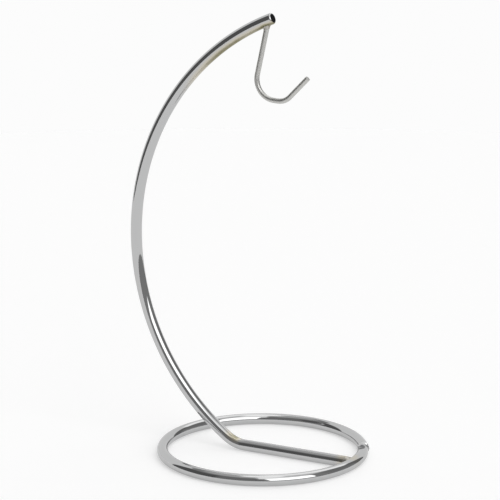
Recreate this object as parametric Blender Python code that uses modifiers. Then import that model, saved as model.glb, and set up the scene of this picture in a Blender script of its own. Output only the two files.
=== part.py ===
"""Chrome hanging stand: a ring foot, a curved arm and a wire hook, bent from round rod and welded.

Metres, +Z up. The origin is on the floor, under the foot bar, at the centre of the base ring.
The arm and the hook lie in the XZ plane, and the hook opens towards +X.
"""
import math

import bmesh
import bpy
from mathutils import Matrix, Vector

MM = 0.001

# Base ring
ROD_DIAMETER = 6.0 * MM
RING_CENTRE_RADIUS = 53.2 * MM
SEAM_ANGLE = math.radians(27.0)
SEAM_GAP = 1.8 * MM
SEAM_STEP = 0.6 * MM
SEAM_STRAIGHT = 1.5 * MM
SEAM_EASE = math.radians(14.0)
SEAM_CROWN = 0.35 * MM

# Arm: a bar along the ring's diameter, a tight bend, then one long curve
FOOT_BEND_X = -11.1 * MM
FOOT_BEND_RADIUS = 18.0 * MM
FOOT_BEND_TURN = math.radians(34.1)
ARM_CURVE_RADIUS = 127.6 * MM
ARM_CURVE_TURN = math.radians(125.4)
ARM_END_EDGE = 1.1 * MM
FOOT_WELD_LEG = 2.2 * MM

# Hook, from the arm's underside to its free end
HOOK_WIRE_DIAMETER = 2.7 * MM
HOOK_SET_BACK = 5.25 * MM
HOOK_LEAN = math.radians(12.75)
HOOK_SHANK_LENGTH = 25.2 * MM
HOOK_BOWL_RADIUS = 10.4 * MM
HOOK_FLAT_LENGTH = 2.6 * MM
HOOK_FLAT_FALL = math.radians(4.0)
HOOK_LIP_BEND_RADIUS = 8.7 * MM
HOOK_LIP_RISE = math.radians(44.8)
HOOK_LIP_LENGTH = 14.4 * MM
HOOK_END_EDGE = 0.25 * MM
HOOK_WELD_LENGTH = 1.9 * MM
HOOK_WELD_FLARE = 0.75 * MM

# Fits between pieces, and the least wall of a weld bead
FIT_GAP = 0.3 * MM
BEAD_WALL = 0.25 * MM

# Fineness of the faceted surfaces
ROD_SIDES = 12
WIRE_SIDES = 10
BEAD_STEPS = 24
CURVE_STEP = math.radians(4.0)
BEND_STEP = math.radians(7.0)
EDGE_STEPS = 3
MERGE_DISTANCE = 0.00002

# A rod's facets lie on its true diameter, so its corners stand a little outside it
ROD_RADIUS = ROD_DIAMETER / 2
WIRE_RADIUS = HOOK_WIRE_DIAMETER / 2
ROD_CORNER = ROD_RADIUS / math.cos(math.pi / ROD_SIDES)
WIRE_CORNER = WIRE_RADIUS / math.cos(math.pi / WIRE_SIDES)

# The foot bar's square end clears the ring's inner side, which curves towards the bar's corners
BAR_END_X = math.sqrt((RING_CENTRE_RADIUS - ROD_CORNER) ** 2 - ROD_CORNER ** 2) - FIT_GAP

CHROME = (0.78, 0.78, 0.79, 1.0)
WELD_CHROME = (0.66, 0.66, 0.66, 1.0)


def clear_scene():
    for item in list(bpy.data.objects):
        bpy.data.objects.remove(item)


def make_collection(name):
    group = bpy.data.collections.new(name)
    bpy.context.scene.collection.children.link(group)
    return group


def make_material(name, colour, roughness):
    material = bpy.data.materials.new(name)
    material.use_nodes = True
    shader = material.node_tree.nodes["Principled BSDF"]
    shader.inputs["Base Color"].default_value = colour
    shader.inputs["Metallic"].default_value = 1.0
    shader.inputs["Roughness"].default_value = roughness
    return material


def heading_vector(heading):
    """Unit vector in the XZ plane, heading measured from +X towards +Z."""
    return Vector((math.cos(heading), 0.0, math.sin(heading)))


def walk(start, heading, moves, step):
    """Points along a bent wire in the XZ plane.

    A move is (length, None) for a straight, or (radius, turn) for a bend; a positive turn is
    anticlockwise seen from -Y. Returns the points and the last heading.
    """
    points = [start.copy()]
    for size, turn in moves:
        if turn is None:
            points.append(points[-1] + heading_vector(heading) * size)
            continue
        side = math.copysign(math.pi / 2, turn)
        centre = points[-1] + heading_vector(heading + side) * size
        count = max(2, math.ceil(abs(turn) / step))
        for index in range(1, count + 1):
            angle = heading + turn * index / count
            points.append(centre - heading_vector(angle + side) * size)
        heading += turn
    return points, heading


def arm_path():
    """Centreline of the arm, from the foot bar's end at the ring to the free end."""
    start = Vector((BAR_END_X, 0.0, ROD_RADIUS))
    moves = [(BAR_END_X - FOOT_BEND_X, None), (FOOT_BEND_RADIUS, -FOOT_BEND_TURN)]
    foot, heading = walk(start, math.pi, moves, BEND_STEP)
    curve, heading = walk(foot[-1], heading, [(ARM_CURVE_RADIUS, -ARM_CURVE_TURN)], CURVE_STEP)
    return foot + curve[1:], heading


def hook_contact():
    """Where the shank's centreline meets the arm's underside, and the arm's heading there."""
    points, end_heading = arm_path()
    back_turn = HOOK_SET_BACK / ARM_CURVE_RADIUS
    heading = end_heading + back_turn
    inward = math.pi / 2
    centre = points[-1] + heading_vector(end_heading - inward) * ARM_CURVE_RADIUS
    on_arm = centre + heading_vector(heading + inward) * ARM_CURVE_RADIUS
    return on_arm + heading_vector(heading - inward) * ROD_RADIUS, heading


def shank_standoff():
    """How far down the shank the wire's square end starts, so that its corner clears the arm."""
    _, arm_heading = hook_contact()
    meeting = arm_heading + HOOK_LEAN
    clearance = FIT_GAP + ROD_CORNER - ROD_RADIUS
    return (clearance + WIRE_CORNER * math.sin(meeting)) / math.cos(meeting)


def hook_path():
    """Centreline of the hook wire, from just under the arm to the lip's end."""
    contact, _ = hook_contact()
    down = -math.pi / 2 - HOOK_LEAN
    start = contact + heading_vector(down) * shank_standoff()
    moves = [
        (HOOK_SHANK_LENGTH - shank_standoff(), None),
        (HOOK_BOWL_RADIUS, math.pi / 2 + HOOK_LEAN - HOOK_FLAT_FALL),
        (HOOK_FLAT_LENGTH, None),
        (HOOK_LIP_BEND_RADIUS, HOOK_LIP_RISE + HOOK_FLAT_FALL),
        (HOOK_LIP_LENGTH, None),
    ]
    points, _ = walk(start, down, moves, 2 * BEND_STEP)
    return points


def seam_frame():
    """Outward direction and direction along the ring at the seam."""
    outwards = Vector((math.cos(SEAM_ANGLE), math.sin(SEAM_ANGLE), 0.0))
    along = Vector((-math.sin(SEAM_ANGLE), math.cos(SEAM_ANGLE), 0.0))
    return outwards, along


def seam_end(side):
    """A ring end's outermost centreline points: the end itself, and where its short straight stops.

    The first end, on side +1, stands outside the last, on side -1, by the seam's step.
    """
    outwards, along = seam_frame()
    radius = RING_CENTRE_RADIUS + side * SEAM_STEP / 2
    end = outwards * radius + along * side * SEAM_GAP / 2 + Vector((0.0, 0.0, ROD_RADIUS))
    return end, end + along * side * SEAM_STRAIGHT


def ring_path():
    """Centreline of the bent ring, open at the seam, with a short straight at each end."""
    start_angle = (SEAM_GAP / 2 + SEAM_STRAIGHT) / RING_CENTRE_RADIUS
    sweep = 2 * math.pi - 2 * start_angle
    count = math.ceil(sweep / BEND_STEP)
    points = list(seam_end(1))
    for index in range(1, count):
        along = sweep * index / count
        from_start = max(0.0, 1 - along / SEAM_EASE)
        from_end = max(0.0, 1 - (sweep - along) / SEAM_EASE)
        radius = RING_CENTRE_RADIUS + SEAM_STEP / 2 * (from_start ** 2 - from_end ** 2)
        angle = SEAM_ANGLE + start_angle + along
        points.append(Vector((radius * math.cos(angle), radius * math.sin(angle), ROD_RADIUS)))
    return points + list(reversed(seam_end(-1)))


def round_end(points, radius, edge):
    """Splits a path's last stretch so that the rod's end edge is a quarter round.

    Returns the points and, for each, the share of the rod's radius there.
    """
    shares = [1.0] * len(points)
    end = points[-1]
    inwards = (points[-2] - end).normalized()
    rounded = [end + inwards * edge]
    rounded_shares = [1.0]
    for index in range(1, EDGE_STEPS + 1):
        angle = math.pi / 2 * index / EDGE_STEPS
        rounded.append(end + inwards * edge * (1 - math.sin(angle)))
        rounded_shares.append(1 - edge * (1 - math.cos(angle)) / radius)
    return points[:-1] + rounded, shares[:-1] + rounded_shares


def make_rod(name, points, shares, radius, sides, group, material=None):
    """A solid rod along a path: a curve with a round bevel, a facet facing down, and filled caps."""
    curve = bpy.data.curves.new(name, "CURVE")
    curve.dimensions = "3D"
    curve.twist_mode = "MINIMUM"
    curve.bevel_depth = radius / math.cos(math.pi / sides)
    curve.bevel_resolution = sides // 2 - 2
    curve.use_fill_caps = True
    spline = curve.splines.new("POLY")
    spline.points.add(len(points) - 1)
    for target, place, share in zip(spline.points, points, shares):
        target.co = (*place, 1.0)
        target.radius = share
        target.tilt = math.pi / sides
    rod = bpy.data.objects.new(name, curve)
    group.objects.link(rod)
    if material:
        curve.materials.append(material)
    return rod


def rod_to_mesh(rod):
    """Replaces a rod by the mesh of its surface, with its caps welded on."""
    depsgraph = bpy.context.evaluated_depsgraph_get()
    mesh = bpy.data.meshes.new_from_object(rod.evaluated_get(depsgraph))
    shape = bmesh.new()
    shape.from_mesh(mesh)
    bmesh.ops.remove_doubles(shape, verts=shape.verts, dist=MERGE_DISTANCE)
    bmesh.ops.recalc_face_normals(shape, faces=shape.faces)
    shape.to_mesh(mesh)
    shape.free()
    solid = bpy.data.objects.new(rod.name + "_solid", mesh)
    solid.matrix_world = rod.matrix_world
    for group in rod.users_collection:
        group.objects.link(solid)
    bpy.data.objects.remove(rod)
    return solid


def make_turned(name, profile, place, axis, group, material):
    """A solid turned about an axis; the profile is (distance along the axis, radius) pairs."""
    mesh = bpy.data.meshes.new(name)
    outline = [(radius, 0.0, along) for along, radius in reversed(profile)]
    edges = [(index, index + 1) for index in range(len(outline) - 1)]
    mesh.from_pydata(outline, edges, [])
    mesh.materials.append(material)
    bead = bpy.data.objects.new(name, mesh)
    group.objects.link(bead)
    bead.location = place
    bead.rotation_euler = axis.to_track_quat("Z", "X").to_euler()
    screw = bead.modifiers.new("turn", "SCREW")
    screw.steps = BEAD_STEPS
    screw.render_steps = BEAD_STEPS
    screw.use_merge_vertices = True
    screw.merge_threshold = MERGE_DISTANCE
    return bead


def make_block(name, low, high, group):
    shape = bmesh.new()
    size = high - low
    middle = Matrix.Translation((low + high) / 2)
    bmesh.ops.create_cube(shape, size=1.0, matrix=middle @ Matrix.Diagonal((*size, 1.0)))
    mesh = bpy.data.meshes.new(name)
    shape.to_mesh(mesh)
    shape.free()
    block = bpy.data.objects.new(name, mesh)
    group.objects.link(block)
    return block


def hide_cutter(cutter):
    cutter.hide_render = True
    cutter.display_type = "WIRE"


def cut_away(solid, cutters):
    for cutter in cutters:
        hide_cutter(cutter)
        boolean = solid.modifiers.new("clear_" + cutter.name, "BOOLEAN")
        boolean.operation = "DIFFERENCE"
        boolean.solver = "EXACT"
        boolean.object = cutter


def clearance_rod(name, points, radius, sides, group):
    """A cutter that leaves the fit gap all round a rod that follows these points."""
    shares = [1.0] * len(points)
    return rod_to_mesh(make_rod(name, points, shares, radius + FIT_GAP, sides, group))


def floor_cutter(group):
    """Everything below the plane that the rods rest on."""
    reach = 2 * RING_CENTRE_RADIUS
    low = Vector((-reach, -reach, -reach))
    return make_block("floor_cutter", low, Vector((reach, reach, 0.0)), group)


def build_ring(group, material):
    points = ring_path()
    shares = [1.0] * len(points)
    return make_rod("base_ring", points, shares, ROD_RADIUS, ROD_SIDES, group, material)


def build_arm(group, material):
    points, _ = arm_path()
    points, shares = round_end(points, ROD_RADIUS, ARM_END_EDGE)
    return make_rod("stand_arm", points, shares, ROD_RADIUS, ROD_SIDES, group, material)


def build_hook(group, material):
    points, shares = round_end(hook_path(), WIRE_RADIUS, HOOK_END_EDGE)
    return make_rod("hook", points, shares, WIRE_RADIUS, WIRE_SIDES, group, material)


def build_ring_weld(group, cutters, material):
    """Barrel-shaped bead in the seam, ground flush underneath."""
    half = SEAM_GAP / 2 - FIT_GAP
    profile = [
        (-half, 0.0),
        (-half, ROD_RADIUS),
        (-half / 2, ROD_RADIUS + SEAM_CROWN),
        (half / 2, ROD_RADIUS + SEAM_CROWN),
        (half, ROD_RADIUS),
        (half, 0.0),
    ]
    outwards, along = seam_frame()
    place = outwards * RING_CENTRE_RADIUS + Vector((0.0, 0.0, ROD_RADIUS))
    bead = make_turned("ring_weld", profile, place, along, group, material)
    cut_away(bead, [floor_cutter(cutters)])
    return bead


def build_foot_weld(group, cutters, material):
    """Fillet collar round the foot bar's end, closing on the ring's inner side."""
    inner_side = RING_CENTRE_RADIUS - ROD_RADIUS
    thin = ROD_RADIUS + FIT_GAP + BEAD_WALL
    profile = [
        (inner_side - FOOT_WELD_LEG, 0.0),
        (inner_side - FOOT_WELD_LEG, thin),
        (inner_side - FOOT_WELD_LEG / 2, thin + FOOT_WELD_LEG / 6),
        (inner_side, thin + FOOT_WELD_LEG / 2),
        (inner_side + ROD_RADIUS / 2, thin + FOOT_WELD_LEG / 2),
        (inner_side + ROD_RADIUS / 2, 0.0),
    ]
    place = Vector((0.0, 0.0, ROD_RADIUS))
    bead = make_turned("foot_weld", profile, place, Vector((1.0, 0.0, 0.0)), group, material)
    bar_start = place + Vector((inner_side - 2 * FOOT_WELD_LEG, 0.0, 0.0))
    bar_end = place + Vector((RING_CENTRE_RADIUS, 0.0, 0.0))
    bar_cutter = clearance_rod("bar_cutter", [bar_start, bar_end], ROD_RADIUS, ROD_SIDES, cutters)
    ring = ring_path()
    near = [point for point in ring[len(ring) // 2:] if point.x > RING_CENTRE_RADIUS / 2]
    ring_cutter = clearance_rod("ring_cutter", near, ROD_RADIUS, ROD_SIDES, cutters)
    cut_away(bead, [bar_cutter, ring_cutter, floor_cutter(cutters)])
    return bead


def build_hook_weld(group, cutters, material):
    """Small cone of weld metal round the top of the shank, closing on the arm's underside."""
    contact, _ = hook_contact()
    down = heading_vector(-math.pi / 2 - HOOK_LEAN)
    socket = contact + down * (shank_standoff() - FIT_GAP)
    thin = WIRE_RADIUS + FIT_GAP + BEAD_WALL
    profile = [
        (-ROD_RADIUS, 0.0),
        (-ROD_RADIUS, thin + HOOK_WELD_FLARE),
        (0.0, thin + HOOK_WELD_FLARE),
        (HOOK_WELD_LENGTH / 2, thin + HOOK_WELD_FLARE / 4),
        (HOOK_WELD_LENGTH, thin),
        (HOOK_WELD_LENGTH, 0.0),
    ]
    bead = make_turned("hook_weld", profile, contact, down, group, material)
    wire_cutter = clearance_rod(
        "wire_cutter", [socket, contact + down * 2 * HOOK_WELD_LENGTH], WIRE_RADIUS, WIRE_SIDES, cutters
    )
    arm_points, end_heading = arm_path()
    past_end = arm_points[-1] + heading_vector(end_heading) * ROD_DIAMETER
    near_end = arm_points[-4:] + [past_end]
    arm_cutter = clearance_rod("arm_cutter", near_end, ROD_RADIUS, ROD_SIDES, cutters)
    cut_away(bead, [wire_cutter, arm_cutter])
    return bead


def main():
    clear_scene()
    stand = make_collection("hanging_stand")
    cutters = make_collection("cutters")
    rod_chrome = make_material("rod_chrome", CHROME, 0.06)
    hook_chrome = make_material("hook_chrome", CHROME, 0.08)
    weld_chrome = make_material("weld_chrome", WELD_CHROME, 0.22)
    build_ring(stand, rod_chrome)
    build_arm(stand, rod_chrome)
    build_hook(stand, hook_chrome)
    build_ring_weld(stand, cutters, weld_chrome)
    build_foot_weld(stand, cutters, weld_chrome)
    build_hook_weld(stand, cutters, weld_chrome)


main()
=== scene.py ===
"""Finished look of the chrome hanging stand: ring foot, curved arm, wire hook and the welds between.

Every shape is a numpy surface over two parameters, and every finish is a small shader class.
Metres, +Z up. The arm and the hook lie in the XZ plane; the floor is at z = 0.
"""
import logging
import math
from dataclasses import dataclass
from enum import Enum

import bpy
import numpy as np
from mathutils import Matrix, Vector


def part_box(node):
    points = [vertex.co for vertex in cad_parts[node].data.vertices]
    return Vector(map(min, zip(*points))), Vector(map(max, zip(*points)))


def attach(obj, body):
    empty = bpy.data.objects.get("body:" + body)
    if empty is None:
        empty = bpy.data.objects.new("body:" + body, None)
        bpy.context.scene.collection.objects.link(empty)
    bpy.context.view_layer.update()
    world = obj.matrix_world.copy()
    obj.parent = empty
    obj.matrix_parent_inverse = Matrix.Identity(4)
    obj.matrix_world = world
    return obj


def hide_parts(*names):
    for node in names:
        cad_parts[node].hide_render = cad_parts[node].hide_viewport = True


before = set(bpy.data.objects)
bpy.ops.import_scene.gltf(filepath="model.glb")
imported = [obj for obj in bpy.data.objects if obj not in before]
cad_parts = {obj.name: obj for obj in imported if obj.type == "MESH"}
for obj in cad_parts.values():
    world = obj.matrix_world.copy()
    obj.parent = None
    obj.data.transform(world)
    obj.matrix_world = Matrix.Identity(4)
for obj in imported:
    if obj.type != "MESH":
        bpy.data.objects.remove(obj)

LOG = logging.getLogger("hanging_stand")
ROOT_BODY = "root"
UNROLLED = "unrolled"
FACE_SPAN = (0.94, 0.04)  # first and last row of a cut face, in shares of its radius

Array = np.ndarray
Point = tuple[float, float, float]
Colour = tuple[float, float, float, float]

WHITE: Colour = (1.0, 1.0, 1.0, 1.0)


class Slot(Enum):
    """Material slots that the record names."""

    ROD = "rod_chrome"
    HOOK = "hook_chrome"
    WELD = "weld_chrome"


# ---------------------------------------------------------------- numpy shapes


def smooth_step(value: Array) -> Array:
    """Rises from 0 to 1 over the unit interval: three squares less two cubes, level outside it."""
    clipped = np.clip(value, 0.0, 1.0)
    return clipped * clipped * (3.0 - 2.0 * clipped)


def running_sum(values: Array, spacing: float) -> Array:
    """Integral of equally spaced samples along the first axis, by the trapezium rule from zero."""
    middles = (values[1:] + values[:-1]) * spacing / 2
    return np.concatenate([np.zeros_like(values[:1]), np.cumsum(middles, axis=0)])


def unit(vectors: Array) -> Array:
    """Vectors along the last axis scaled to length one."""
    return vectors / np.linalg.norm(vectors, axis=-1, keepdims=True)


def once_round(count: int) -> Array:
    """Equally spaced angles over one turn, without the last that would meet the first."""
    return np.linspace(0.0, 2 * math.pi, count, endpoint=False)


def in_plane(angle: float) -> Array:
    """Unit direction in the XZ plane at an angle from +X towards +Z."""
    return np.array([math.cos(angle), 0.0, math.sin(angle)])


def on_tube(radius: float, across: Array) -> Array:
    """Half the thickness of a round tube where it is cut this far from its middle line."""
    return np.sqrt(radius ** 2 - across ** 2)


@dataclass(frozen=True)
class Stretch:
    """A straight or a round stretch of a bent rod.

    Attributes:
        length: Length along the centreline.
        turn: Angle turned over that length, in radians, anticlockwise seen from -Y.
    """

    length: float
    turn: float = 0.0

    @staticmethod
    def bend(radius: float, degrees: float) -> "Stretch":
        """A round stretch of this centreline radius; the sign of the degrees is its side."""
        turn = math.radians(degrees)
        return Stretch(radius * abs(turn), turn)


@dataclass(frozen=True)
class Centreline:
    """A rod's centreline, with two unit directions square to it at every point."""

    points: Array
    sideways: Array
    upwards: Array
    along: Array

    @property
    def forwards(self) -> Array:
        """Unit direction of travel at every point."""
        return unit(np.gradient(self.points, axis=0))


def bent_centreline(
    start: Vector, heading: float, stretches: list[Stretch], ease: float, count: int
) -> Centreline:
    """Centreline of a rod bent in the XZ plane.

    The curvature of each stretch is constant, and it passes to the next over a short eased
    length, as a rod's does on a bending former. The heading is the integral of the curvature,
    and the place is the integral of the heading's cosine and sine.

    Args:
        start: First point.
        heading: First direction, in radians from +X towards +Z.
        stretches: The straights and bends in order.
        ease: Length over which one curvature passes to the next.
        count: Number of points.

    Returns:
        The centreline, whose upwards direction lies in the plane and whose sideways is +Y.
    """
    lengths = np.array([stretch.length for stretch in stretches])
    curvatures = np.array([stretch.turn / stretch.length for stretch in stretches])
    joins = np.cumsum(lengths)[:-1]
    along = np.linspace(0.0, lengths.sum(), count)
    passed = smooth_step((along[:, None] - joins[None, :]) / ease + 0.5)
    curvature = curvatures[0] + passed @ np.diff(curvatures)
    spacing = along[1]
    angle = heading + running_sum(curvature, spacing)
    flat = np.zeros_like(angle)
    forwards = np.stack([np.cos(angle), flat, np.sin(angle)], axis=-1)
    points = np.array(start) + running_sum(forwards, spacing)
    upwards = np.stack([-np.sin(angle), flat, np.cos(angle)], axis=-1)
    sideways = np.broadcast_to([0.0, 1.0, 0.0], points.shape)
    return Centreline(points, sideways, upwards, along)


@dataclass(frozen=True)
class RodEnd:
    """How a cut end is finished: a flat face inside a quarter-round edge.

    Attributes:
        edge: Radius of the edge's rounding.
        edge_rows: Rows over the rounding.
        face_rows: Rows over the flat face.
    """

    edge: float
    edge_rows: int = 8
    face_rows: int = 7

    def profile(self, radius: float) -> tuple[Array, Array]:
        """Rows from the rod's side round the edge to the middle of the face, which a pole closes.

        Args:
            radius: The rod's radius.

        Returns:
            Distance out from the start of the rounding, and radius, for each row.
        """
        angle = np.linspace(0.0, math.pi / 2, self.edge_rows + 1)[1:]
        edge_out = self.edge * np.sin(angle)
        edge_radius = radius - self.edge * (1 - np.cos(angle))
        face_radius = (radius - self.edge) * np.linspace(*FACE_SPAN, self.face_rows)
        face_out = np.full(self.face_rows, self.edge)
        return np.concatenate([edge_out, face_out]), np.concatenate([edge_radius, face_radius])


@dataclass
class Sheet:
    """A closed surface as a grid: rows along, columns around.

    Attributes:
        grid: Points, shaped rows by columns by 3.
        unrolled: The same points as if the rod were straight, for patterns that follow it.
        closed_rows: Whether the last row joins the first; if not, each end closes to a pole.
    """

    grid: Array
    unrolled: Array
    closed_rows: bool = False

    def faces(self) -> tuple[Array, Array]:
        """Quads between neighbouring rows and columns, and triangles to the poles.

        Returns:
            Quads and triangles as vertex numbers; the triangle list is empty without poles.
        """
        rows, columns = self.grid.shape[:2]
        numbers = np.arange(rows * columns).reshape(rows, columns)
        lower = numbers if self.closed_rows else numbers[:-1]
        upper = np.roll(numbers, -1, axis=0)[: len(lower)]
        quads = np.stack(
            [lower, np.roll(lower, -1, axis=1), np.roll(upper, -1, axis=1), upper], axis=-1
        ).reshape(-1, 4)
        if self.closed_rows:
            return quads, np.empty((0, 3), dtype=int)
        first = np.full(columns, rows * columns)
        last = first + 1
        starts = np.stack([first, np.roll(numbers[0], -1), numbers[0]], axis=-1)
        ends = np.stack([last, numbers[-1], np.roll(numbers[-1], -1)], axis=-1)
        return quads, np.concatenate([starts, ends])

    def vertices(self, source: Array) -> Array:
        """Grid points in a list, followed by the two poles if the rows are open.

        Args:
            source: Either of the two grids.

        Returns:
            One point a row.
        """
        listed = source.reshape(-1, 3)
        if self.closed_rows:
            return listed
        return np.concatenate([listed, source[0].mean(axis=0)[None], source[-1].mean(axis=0)[None]])

    def make(self, name: str) -> bpy.types.Object:
        """Puts the surface into a smooth-shaded mesh whose faces point outwards.

        The sign of the enclosed volume, a sixth of the sum of triple products, says which way
        the faces point.

        Args:
            name: Name of the piece.

        Returns:
            The new object, linked to the scene, at the origin.
        """
        quads, triangles = self.faces()
        points = self.vertices(self.grid)
        parts = np.concatenate([quads[:, :3], quads[:, [0, 2, 3]], triangles])
        corner = points[parts]
        volume = np.einsum("ij,ij->", corner[:, 0], np.cross(corner[:, 1], corner[:, 2])) / 6
        if volume < 0:
            quads, triangles = quads[:, ::-1], triangles[:, ::-1]
        mesh = bpy.data.meshes.new(name)
        mesh.from_pydata(points, [], quads.tolist() + triangles.tolist())
        attribute = mesh.attributes.new(UNROLLED, "FLOAT_VECTOR", "POINT")
        attribute.data.foreach_set("vector", self.vertices(self.unrolled).ravel())
        mesh.shade_smooth()
        mesh.update()
        piece = bpy.data.objects.new(name, mesh)
        bpy.context.scene.collection.objects.link(piece)
        return piece


@dataclass(frozen=True)
class Rod:
    """A round rod swept along a centreline.

    Attributes:
        radius: Radius of the round section.
        around: Columns around the section.
        start: Finish of the first end.
        end: Finish of the last end.
    """

    radius: float
    around: int
    start: RodEnd
    end: RodEnd

    def end_rows(self, line: Centreline, which: int) -> tuple[Array, Array, Array, Array, Array]:
        """Extra rows that round off one end and close its face.

        Args:
            line: The rod's centreline, up to where the rounding starts.
            which: 0 for the first end, -1 for the last.

        Returns:
            Centres, sideways, upwards, distances along and radii, in outward order.
        """
        finish = self.start if which == 0 else self.end
        sense = -1.0 if which == 0 else 1.0
        out, radii = finish.profile(self.radius)
        centres = line.points[which] + sense * out[:, None] * line.forwards[which]
        sideways = np.broadcast_to(line.sideways[which], centres.shape)
        upwards = np.broadcast_to(line.upwards[which], centres.shape)
        return centres, sideways, upwards, line.along[which] + sense * out, radii

    def angles(self) -> Array:
        """Angle of each column round the section, from sideways towards upwards."""
        return once_round(self.around)

    def sheet(
        self, line: Centreline, squash: Array | None = None, relief: Array | None = None
    ) -> Sheet:
        """Surface of the rod: centre plus sideways times cosine plus upwards times sine.

        Args:
            line: Centreline between the two roundings.
            squash: How much flatter the section is in the bend's plane, for each point.
            relief: Height over the round section, points by columns.

        Returns:
            The closed surface.
        """
        count = len(line.points)
        flat = np.zeros(count) if squash is None else squash
        first = [part[::-1] for part in self.end_rows(line, 0)]
        last = self.end_rows(line, -1)
        centres = np.concatenate([first[0], line.points, last[0]])
        sideways = np.concatenate([first[1], line.sideways, last[1]])
        upwards = np.concatenate([first[2], line.upwards, last[2]])
        along = np.concatenate([first[3], line.along, last[3]])
        radii = np.concatenate([first[4], np.full(count, self.radius), last[4]])
        flat = np.pad(flat, (len(first[4]), len(last[4])), mode="edge")
        angle = self.angles()
        proud = np.zeros((count, self.around)) if relief is None else relief
        proud = np.pad(proud, ((len(first[4]), len(last[4])), (0, 0)), mode="edge")
        reach = radii[:, None] * (1 + proud / self.radius)
        across = reach * np.cos(angle) * (1 + flat[:, None] / 2)
        height = reach * np.sin(angle) * (1 - flat[:, None])
        grid = (
            centres[:, None]
            + sideways[:, None] * across[..., None]
            + upwards[:, None] * height[..., None]
        )
        straight = np.stack([across, height, np.broadcast_to(along[:, None], across.shape)], axis=-1)
        return Sheet(grid, straight)


@dataclass(frozen=True)
class WeldRipple:
    """Uneven surface of a bead: overlapping ripples round it and slow lumps.

    Attributes:
        height: Height of the ripples.
        count: Ripples in one turn.
        lumps: Height of the slow unevenness.
        phase: Where the first ripple lies.
    """

    height: float
    count: int
    lumps: float
    phase: float = 0.0

    def relief(self, around: Array, across: Array) -> Array:
        """Height over the smooth bead: a rounded saw wave that leans back at the bead's sides.

        Args:
            around: Angle round the bead.
            across: Place across the bead, from 0 at one toe to 1 at the other.

        Returns:
            Height at each pair, falling to zero at both toes.
        """
        window = np.sin(math.pi * np.clip(across, 0.0, 1.0)) ** 0.8
        lean = 1.3 * (across - 0.5) ** 2
        wave = np.abs(np.sin(self.count * (around + lean) / 2 + self.phase))
        slow = np.sin(3 * around + 1.1 + self.phase) + 0.6 * np.sin(5 * around + 2.7 * across)
        return window * (self.height * (wave - 0.5) + self.lumps * slow / 1.6)


def fillet_collar(
    first: Array, root: Array, second: Array, sunk_first: Array, sunk_second: Array,
    ripple: WeldRipple, rows: int,
) -> Sheet:
    """Weld bead that runs all round a joint, from a toe on one rod to a toe on the other.

    Across the bead the surface is the quadratic curve from toe to toe that is pulled towards
    the root, (1-t)^2 first + 2t(1-t) root + t^2 second, and it closes inside the metal.

    Args:
        first: Toe on the first rod, one point for each column.
        root: Points that the curve is pulled towards.
        second: Toe on the second rod.
        sunk_first: Points inside the first rod, where the bead closes.
        sunk_second: Points inside the second rod.
        ripple: Unevenness of the bead.
        rows: Rows from toe to toe.

    Returns:
        The closed bead.
    """
    columns = len(first)
    across = np.linspace(0.0, 1.0, rows)[:, None, None]
    smooth = (1 - across) ** 2 * first + 2 * across * (1 - across) * root + across ** 2 * second
    around = once_round(columns)
    tangent_across = np.gradient(smooth, axis=0)
    tangent_around = np.roll(smooth, -1, axis=1) - np.roll(smooth, 1, axis=1)
    normal = unit(np.cross(tangent_around, tangent_across))
    inside = (sunk_first + sunk_second) / 2
    outward = np.sign(np.sum(normal * (smooth - inside), axis=-1, keepdims=True))
    relief = ripple.relief(around[None, :], across[..., 0])
    surface = smooth + normal * outward * relief[..., None]
    grid = np.concatenate([sunk_first[None], surface, sunk_second[None]])
    return Sheet(grid, grid - grid.mean(axis=(0, 1)), closed_rows=True)


# ---------------------------------------------------------------- shader graph


class Value:
    """A shader socket that takes part in arithmetic; every operation adds its Math node."""

    def __init__(self, graph: "Graph", socket: bpy.types.NodeSocket) -> None:
        """Wraps an output socket; new nodes go to the graph."""
        self.graph = graph
        self.socket = socket

    def maths(self, operation: str, *others: "Value | float", clamp: bool = False) -> "Value":
        """A Math node of this operation on this value and others; clamp keeps it in 0 to 1."""
        settings = {"operation": operation, "use_clamp": clamp}
        return self.graph.value("ShaderNodeMath", settings, dict(enumerate((self, *others))))

    def __add__(self, other: "Value | float") -> "Value":
        """This plus other."""
        return self.maths("ADD", other)

    __radd__ = __add__

    def __mul__(self, other: "Value | float") -> "Value":
        """This times other."""
        return self.maths("MULTIPLY", other)

    __rmul__ = __mul__

    def __sub__(self, other: "Value | float") -> "Value":
        """This less other."""
        return self.maths("SUBTRACT", other)

    def __rsub__(self, other: float) -> "Value":
        """Other less this."""
        return self * -1.0 + other

    def __truediv__(self, other: "Value | float") -> "Value":
        """This over other."""
        return self.maths("DIVIDE", other)

    def clamped(self) -> "Value":
        """This kept within 0 and 1."""
        return self.maths("ADD", 0.0, clamp=True)

    def distance_from(self, middle: float) -> "Value":
        """How far this is from a number, either way."""
        return (self - middle).maths("ABSOLUTE")

    def eased(self, low: float, high: float) -> "Value":
        """Rises smoothly from 0 at low to 1 at high.

        Args:
            low: Where the rise starts.
            high: Where it ends; below low, it falls instead.

        Returns:
            The eased value.
        """
        if high < low:
            return 1.0 - self.eased(high, low)
        settings = {"interpolation_type": "SMOOTHSTEP"}
        inputs = {"Value": self, "From Min": low, "From Max": high}
        return self.graph.value("ShaderNodeMapRange", settings, inputs)


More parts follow.
